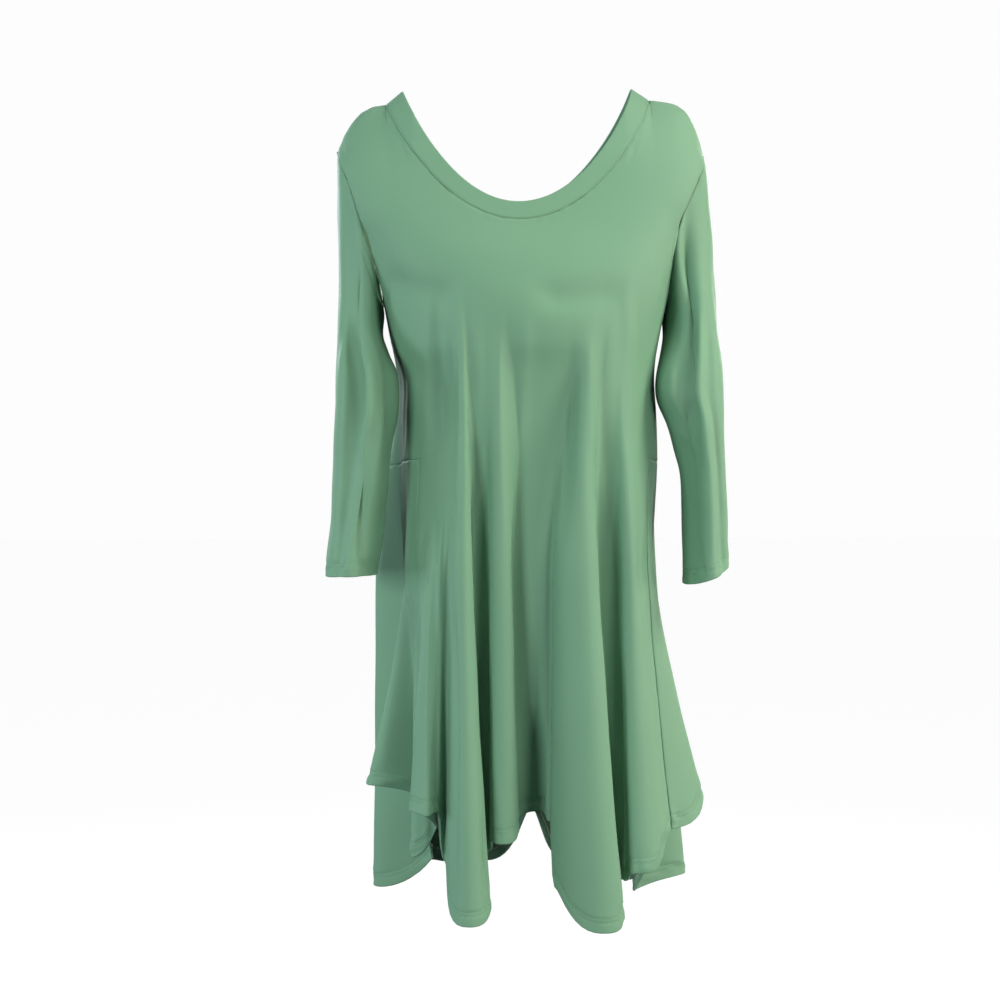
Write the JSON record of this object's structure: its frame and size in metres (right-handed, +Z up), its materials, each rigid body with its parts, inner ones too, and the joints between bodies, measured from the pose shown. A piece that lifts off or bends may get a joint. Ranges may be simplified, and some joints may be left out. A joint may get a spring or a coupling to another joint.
{
  "type": "tunic top",
  "caption": "Green jersey tunic top with a wide scoop neck, set-in three-quarter sleeves and a flared skirt that falls in deep tubular folds to an uneven hem.",
  "frame": {"origin": "on the centre line, at the height of the shoulders, midway between front and back", "axes": "+Z up to the neck, the front faces -Y, +X towards the viewer's right seen from the front"},
  "size_m": [0.4324, 0.2976, 0.8914],
  "materials": {
    "jersey": "smooth viscose jersey knit, soft matt face",
    "neckband_jersey": "the same jersey, folded double and pressed"
  },
  "bodies": {
    "root": {"front": "jersey", "back": "jersey", "side_front_left": "jersey", "side_front_right": "jersey", "side_back_left": "jersey", "side_back_right": "jersey", "sleeve_left": "jersey", "sleeve_right": "jersey", "neckband": "neckband_jersey"}
  },
  "joints": []
}
